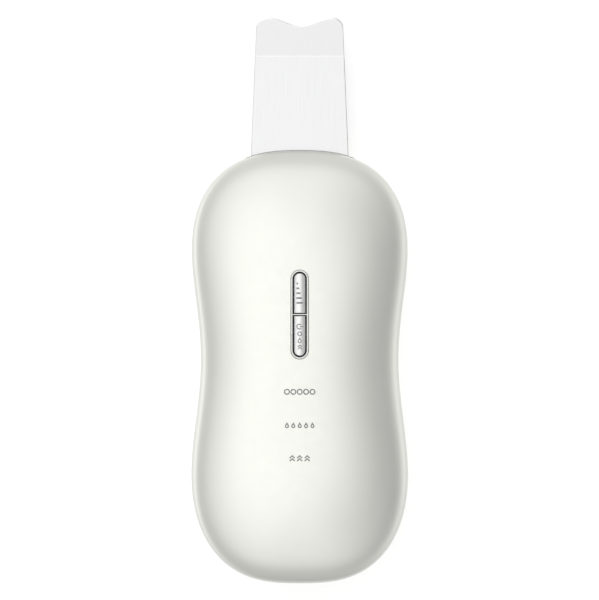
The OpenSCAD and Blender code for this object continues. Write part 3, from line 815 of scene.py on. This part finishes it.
class Look:
    """A new material and short ways to add nodes to it."""

    def __init__(self, name):
        self.material = bpy.data.materials.new(name)
        self.material.use_nodes = True
        self.tree = self.material.node_tree
        self.shader = self.tree.nodes["Principled BSDF"]
        self.place = self.tree.nodes.new("ShaderNodeTexCoord").outputs["Object"]

    def set(self, **values):
        """Sets sockets of the shader, written with _ for a space."""
        for name, value in values.items():
            self.shader.inputs[name.replace("_", " ")].default_value = value

    def feed(self, name, socket):
        """Links a pattern to a socket of the shader."""
        self.tree.links.new(socket, self.shader.inputs[name])

    def stretched(self, scale):
        """Object coordinates scaled along each axis, for a grain that runs one way."""
        node = self.tree.nodes.new("ShaderNodeMapping")
        node.inputs["Scale"].default_value = scale
        self.tree.links.new(self.place, node.inputs["Vector"])
        return node.outputs["Vector"]

    def noise(self, scale, detail=3.0, roughness=0.55, place=None):
        """Cloudy noise, at the object's own coordinates unless place is given."""
        node = self.tree.nodes.new("ShaderNodeTexNoise")
        node.inputs["Scale"].default_value = scale
        node.inputs["Detail"].default_value = detail
        node.inputs["Roughness"].default_value = roughness
        self.tree.links.new(place or self.place, node.inputs["Vector"])
        return node.outputs["Fac"]

    def cells(self, scale):
        """Distance from the centres of random cells."""
        node = self.tree.nodes.new("ShaderNodeTexVoronoi")
        node.inputs["Scale"].default_value = scale
        self.tree.links.new(self.place, node.inputs["Vector"])
        return node.outputs["Distance"]

    def waves(self, scale, direction, distortion):
        """Parallel bands across one direction."""
        node = self.tree.nodes.new("ShaderNodeTexWave")
        node.bands_direction = direction
        node.inputs["Scale"].default_value = scale
        node.inputs["Distortion"].default_value = distortion
        self.tree.links.new(self.place, node.inputs["Vector"])
        return node.outputs["Fac"]

    def bricks(self, scale):
        """Bricks in thin joints."""
        node = self.tree.nodes.new("ShaderNodeTexBrick")
        node.inputs["Scale"].default_value = scale
        node.inputs["Mortar Size"].default_value = 0.03
        self.tree.links.new(self.place, node.inputs["Vector"])
        return node.outputs["Fac"]

    def span(self, socket, low, high, start=0.3, end=0.7):
        """Turns a pattern into a number between low and high."""
        node = self.tree.nodes.new("ShaderNodeMapRange")
        node.inputs["From Min"].default_value = start
        node.inputs["From Max"].default_value = end
        node.inputs["To Min"].default_value = low
        node.inputs["To Max"].default_value = high
        self.tree.links.new(socket, node.inputs["Value"])
        return node.outputs["Result"]

    def tint(self, socket, low, high, start=0.3, end=0.7):
        """Turns a pattern into a colour between low and high."""
        node = self.tree.nodes.new("ShaderNodeValToRGB")
        node.color_ramp.elements[0].position = start
        node.color_ramp.elements[0].color = (*low, 1)
        node.color_ramp.elements[1].position = end
        node.color_ramp.elements[1].color = (*high, 1)
        self.tree.links.new(socket, node.inputs["Fac"])
        return node.outputs["Color"]

    def bump(self, socket, depth):
        """A relief of the given depth in metres."""
        node = self.tree.nodes.new("ShaderNodeBump")
        node.inputs["Strength"].default_value = 1.0
        node.inputs["Distance"].default_value = depth
        self.tree.links.new(socket, node.inputs["Height"])
        self.tree.links.new(node.outputs["Normal"], self.shader.inputs["Normal"])


def shade(colour, share):
    """The colour at a share of its brightness."""
    return tuple(c * share for c in colour)


def plastic(name, colour, roughness, texture):
    """Moulded plastic: a spark-eroded texture of the given depth, with a faint drift in colour."""
    look = Look(name)
    drift = look.noise(45, 2)
    look.feed("Base Color", look.tint(drift, shade(colour, 0.985), colour))
    look.feed("Roughness", look.span(look.noise(900), roughness - 0.03, roughness + 0.03))
    look.bump(look.noise(5200, 2), texture)
    look.set(IOR=1.5)
    return look.material


def pearl_plastic(name, colour, roughness):
    """Pearl white: satin plastic with a fine sheen of mica under its skin."""
    look = Look(name)
    drift = look.noise(30, 2)
    look.feed("Base Color", look.tint(drift, shade(colour, 0.985), colour))
    look.feed("Roughness", look.span(look.noise(700), roughness - 0.025, roughness + 0.025))
    look.bump(look.noise(4200, 2), 0.0000015)
    look.set(Metallic=PEARL, IOR=1.5)
    return look.material


def silicone(name, colour):
    """Soft rubber: matte, with a fine dusty grain."""
    look = Look(name)
    grain = look.noise(3500, 4, 0.7)
    look.feed("Base Color", look.tint(grain, shade(colour, 0.9), colour))
    look.feed("Roughness", look.span(look.noise(1200), 0.6, 0.78))
    look.bump(grain, 0.000004)
    look.set(IOR=1.41)
    return look.material


def plate_look():
    """Steel with a fine grain across the plate."""
    look = Look("plate_steel")
    colour = (0.82, 0.82, 0.83)
    lines = look.noise(1.0, 3, 0.6, look.stretched(PLATE_GRAIN))
    look.feed("Base Color", look.tint(lines, shade(colour, 0.985), colour))
    look.feed("Roughness", look.span(lines, 0.19, 0.35))
    look.bump(lines, 0.0000004)
    look.set(Metallic=1.0)
    return look.material


def blade_look():
    """Finely brushed steel. From the bend to the tip its colour is painted lighter, to make up for the
    darker sky that the bent tip reflects.
    """
    look = Look("blade_steel")
    lines = look.noise(1.0, 3, 0.6, look.stretched(BLADE_GRAIN))
    parts = look.tree.nodes.new("ShaderNodeSeparateXYZ")
    look.tree.links.new(look.place, parts.inputs["Vector"])
    bend = (TIP_Y - TIP_L) * MM
    # Painted light: past the bend the base colour steps up from the flat's grey to a lighter grey, to
    # make up for the darker part of the sky that the bent tip reflects.
    tip_painted_light = look.span(parts.outputs["Y"], 0, 1, bend - 0.2 * MM, bend)
    look.feed("Base Color", look.tint(tip_painted_light, (0.635, 0.635, 0.637), (0.88, 0.88, 0.882), 0, 1))
    look.feed("Roughness", look.span(lines, 0.22, 0.26))
    look.bump(lines, 0.0000001)
    look.set(Metallic=1.0)
    return look.material


def turned_metal(name, colour, roughness):
    """Machined metal: tool rings round the Y axis, and a little tarnish."""
    look = Look(name)
    rings = look.waves(900, "Y", 1.0)
    look.feed("Base Color", look.tint(look.noise(260), shade(colour, 0.88), colour))
    look.feed("Roughness", look.span(rings, roughness - 0.06, roughness + 0.06, 0, 1))
    look.bump(rings, 0.000003)
    look.set(Metallic=1.0)
    return look.material


def plated(name, colour, roughness):
    """Plated small hardware: bright, with a cloudy film."""
    look = Look(name)
    cloud = look.noise(1500, 4)
    look.feed("Base Color", look.tint(cloud, shade(colour, 0.86), colour))
    look.feed("Roughness", look.span(cloud, roughness - 0.08, roughness + 0.1))
    look.bump(look.noise(6000), 0.000001)
    look.set(Metallic=1.0)
    return look.material


def ceramic():
    """Fired piezo ceramic: dark, granular, slightly glossy."""
    look = Look("piezo_ceramic")
    grain = look.cells(2600)
    look.feed("Base Color", look.tint(grain, (0.16, 0.14, 0.12), (0.34, 0.31, 0.27), 0.1, 0.6))
    look.feed("Roughness", look.span(grain, 0.35, 0.6, 0, 0.6))
    look.bump(grain, 0.000004)
    return look.material


def winding():
    """Enamelled copper wire in close turns."""
    look = Look("copper_winding")
    turns = look.waves(1100, "Z", 0.4)
    look.feed("Base Color", look.tint(turns, (0.2, 0.06, 0.02), (0.72, 0.33, 0.13), 0.1, 0.8))
    look.feed("Roughness", look.span(look.noise(900), 0.2, 0.35))
    look.bump(turns, 0.00006)
    look.set(Metallic=0.8)
    return look.material


def foil():
    """Battery pouch foil: crinkled, satin."""
    look = Look("battery_foil")
    folds = look.noise(160, 5, 0.6)
    look.feed("Base Color", look.tint(folds, (0.5, 0.53, 0.58), (0.72, 0.75, 0.8)))
    look.feed("Roughness", look.span(look.noise(1500), 0.3, 0.48))
    look.bump(folds, 0.0001)
    look.set(Metallic=0.9)
    return look.material


def foam():
    """Open foam with small pores."""
    look = Look("foam")
    pores = look.cells(2200)
    look.feed("Base Color", look.tint(pores, (0.08, 0.08, 0.085), (0.3, 0.3, 0.31), 0.05, 0.5))
    look.feed("Roughness", look.span(pores, 0.85, 1.0, 0, 0.6))
    look.bump(pores, 0.0001)
    return look.material


def circuit_board():
    """Green resist over faint copper tracks on glass fibre."""
    look = Look("circuit_board")
    tracks = look.bricks(420)
    look.feed("Base Color", look.tint(tracks, (0.012, 0.12, 0.05), (0.03, 0.2, 0.09), 0, 1))
    look.feed("Roughness", look.span(look.noise(2200), 0.22, 0.38))
    look.bump(tracks, 0.00003)
    return look.material


def lamp_body():
    """Clear lamp body over a yellow die."""
    look = Look("lamp_body")
    cloud = look.noise(1800, 3)
    look.feed("Base Color", look.tint(cloud, (0.85, 0.76, 0.4), (0.95, 0.92, 0.75)))
    look.feed("Roughness", look.span(cloud, 0.1, 0.22))
    look.set(Transmission_Weight=0.3, IOR=1.5)
    return look.material


def ink():
    """Matte grey printing ink, a little uneven."""
    look = Look("grey_ink")
    grain = look.noise(6000, 3)
    look.feed("Base Color", look.tint(grain, (0.29, 0.295, 0.3), (0.35, 0.355, 0.36)))
    look.feed("Roughness", look.span(grain, 0.5, 0.65))
    look.bump(grain, 0.000002)
    return look.material


def wire_cover(name, colour):
    """Wire insulation: semi-gloss, with a faint twist along it."""
    look = Look(name)
    twist = look.waves(400, "DIAGONAL", 2.0)
    look.feed("Base Color", look.tint(twist, shade(colour, 0.85), colour, 0, 1))
    look.feed("Roughness", look.span(look.noise(1500), 0.35, 0.5))
    look.bump(twist, 0.00001)
    return look.material


def make_looks():
    """Every material slot of the record with its look."""
    return {
        "shell_white": pearl_plastic("shell_plastic", (0.947, 0.955, 0.893), 0.315),
        "frame_white": pearl_plastic("frame_plastic", (0.95, 0.955, 0.92), 0.25),
        "key_white": pearl_plastic("key_plastic", (0.93, 0.933, 0.925), 0.3),
        "seal_grey": silicone("seal_silicone", (0.2, 0.203, 0.207)),
        # The key seal is a real part, but its near-black is painted shade: it is set this dark to stand
        # in for the shade deep in the gaps round the keys.
        "seal_dark": silicone("silicone_painted_gap_shade", (0.02, 0.02, 0.022)),
        "blade_steel": blade_look(),
        "plate_steel": plate_look(),
        "socket_steel": plated("socket_steel", (0.74, 0.74, 0.75), 0.25),
        "hidden_steel": plated("zinc_steel", (0.58, 0.59, 0.61), 0.35),
        "horn_aluminium": turned_metal("horn_aluminium", (0.78, 0.79, 0.81), 0.3),
        "piezo_ceramic": ceramic(),
        "contact_brass": plated("gilt_brass", (0.88, 0.66, 0.3), 0.25),
        "copper_winding": winding(),
        "battery_foil": foil(),
        "foam_grey": foam(),
        "board_green": circuit_board(),
        "part_black": plastic("black_plastic", (0.03, 0.03, 0.034), 0.42, 0.000003),
        "part_ivory": plastic("ivory_plastic", (0.84, 0.8, 0.68), 0.35, 0.000002),
        "lamp_yellow": lamp_body(),
        "block_white": plastic("block_plastic", (0.9, 0.9, 0.88), 0.5, 0.000002),
        "lead_red": wire_cover("red_cover", (0.6, 0.05, 0.04)),
        "lead_grey": wire_cover("grey_cover", (0.28, 0.28, 0.29)),
    }


def dress_cad_nodes(looks):
    """Gives every CAD node the look of its material slot."""
    for row in frame["record"]["subparts"]:
        node = frame["nodes"][row["node"]]
        node.data.materials.clear()
        node.data.materials.append(looks[row["material_slot"]])
        smooth(node, 30)


# ---------------------------------------------------------------- studio


def table_look():
    """A bright, even table: white card lit from below, with a faint paper grain."""
    look = Look("table_card")
    grain = look.noise(250, 5)
    look.feed("Base Color", look.tint(grain, (0.86, 0.86, 0.86), (0.88, 0.88, 0.88)))
    look.feed("Roughness", look.span(grain, 0.8, 0.9))
    look.set(Emission_Color=(1, 1, 1, 1), Emission_Strength=TABLE_GLOW)
    return look.material


def table():
    """A large round table top that sweeps up into a backdrop. It lights nothing itself."""
    floor_r, sweep_r, wall_top, level = 3000.0, 1000.0, 4000.0, -0.02
    rings = [circle(floor_r + sweep_r * math.sin(a), level + sweep_r * (1 - math.cos(a)))
             for a in np.linspace(0, math.pi / 2, 9)]
    rings.append(circle(floor_r + sweep_r, wall_top))
    floor = (rings[0], [tuple(range(len(rings[0])))])
    piece = mesh_object("table", floor, loft(rings, caps=False))
    smooth(piece)
    piece.data.materials.append(table_look())
    piece.visible_diffuse = False
    piece.visible_glossy = False
    piece.visible_shadow = False


def math_node(tree, kind, operation, *values):
    """A node that joins its inputs, each a socket or a constant, by a math operation."""
    node = tree.nodes.new(kind)
    node.operation = operation
    for socket, value in zip(node.inputs, values):
        if isinstance(value, bpy.types.NodeSocket):
            tree.links.new(value, socket)
        else:
            socket.default_value = value
    return node.outputs


def sky():
    """Soft studio surroundings: each direction's light by its height and its lean, as in SKY."""
    world = bpy.data.worlds.new("studio")
    bpy.context.scene.world = world
    world.use_nodes = True
    tree = world.node_tree
    place = tree.nodes.new("ShaderNodeTexCoord")
    split = tree.nodes.new("ShaderNodeSeparateXYZ")
    tree.links.new(place.outputs["Generated"], split.inputs["Vector"])
    share = tree.nodes.new("ShaderNodeMapRange")
    share.inputs["From Min"].default_value = -1.0
    tree.links.new(split.outputs["Z"], share.inputs["Value"])
    ramp = tree.nodes.new("ShaderNodeValToRGB")
    elements = ramp.color_ramp.elements
    elements.remove(elements[1])
    for height, *parts in SKY:
        stop = elements[0] if height == -1 else elements.new((height + 1) / 2)
        stop.color = (*(part + SKY_LIFT for part in parts), 1)
    tree.links.new(share.outputs["Result"], ramp.inputs["Fac"])
    lift = (SKY_LIFT,) * 3
    parts = math_node(tree, "ShaderNodeVectorMath", "SUBTRACT", ramp.outputs["Color"], lift)
    x = split.outputs["X"]
    lean = tree.nodes.new("ShaderNodeCombineXYZ")
    lean.inputs["X"].default_value = 1.0
    tree.links.new(math_node(tree, "ShaderNodeMath", "MULTIPLY", x, -1.0)[0], lean.inputs["Y"])
    tree.links.new(math_node(tree, "ShaderNodeMath", "MULTIPLY", x, x)[0], lean.inputs["Z"])
    even = math_node(tree, "ShaderNodeVectorMath", "DOT_PRODUCT", parts["Vector"], lean.outputs[0])
    top = (split.outputs["Y"], SKY_TOP, even["Value"])
    light = math_node(tree, "ShaderNodeMath", "MULTIPLY_ADD", *top)
    background = tree.nodes["Background"]
    background.inputs["Color"].default_value = (1, 1, 1, 1)
    tree.links.new(light[0], background.inputs["Strength"])


def studio():
    """The light, the table, and plain display colours."""
    sky()
    table()
    scene = bpy.context.scene
    scene.view_settings.view_transform = "Standard"
    scene.view_settings.look = "None"


def camera():
    """Looks straight down on the front face, with the blade at the top, through a long lens."""
    distance = 1200.0
    height = 150.0
    data = bpy.data.cameras.new("camera")
    data.sensor_width = 36.0
    data.lens = data.sensor_width * distance / height
    data.clip_end = 10
    view = bpy.data.objects.new("camera", data)
    bpy.context.scene.collection.objects.link(view)
    view.location = Vector((-0.05, 0, REAR_T + distance)) * MM
    bpy.context.scene.camera = view


# ---------------------------------------------------------------- the whole


def build():
    """Makes the whole scene around the CAD nodes."""
    looks = make_looks()
    grey_ink = ink()
    dress_cad_nodes(looks)
    front_shell(looks["shell_white"])
    rear_shell(looks["shell_white"])
    screw_wells(looks["shell_white"])
    blade(looks["blade_steel"])
    blade_seal(looks["seal_grey"])
    key_frame(looks["frame_white"])
    key("level_cap", "level_key", 1, looks["key_white"])
    key("mode_cap", "mode_key", -1, looks["key_white"])
    contact_plate(looks["plate_steel"])
    tongue_pads(looks["contact_brass"])
    mode_marks(grey_ink)
    level_mark(grey_ink)
    mode_mark(grey_ink)
    studio()
    camera()


build()
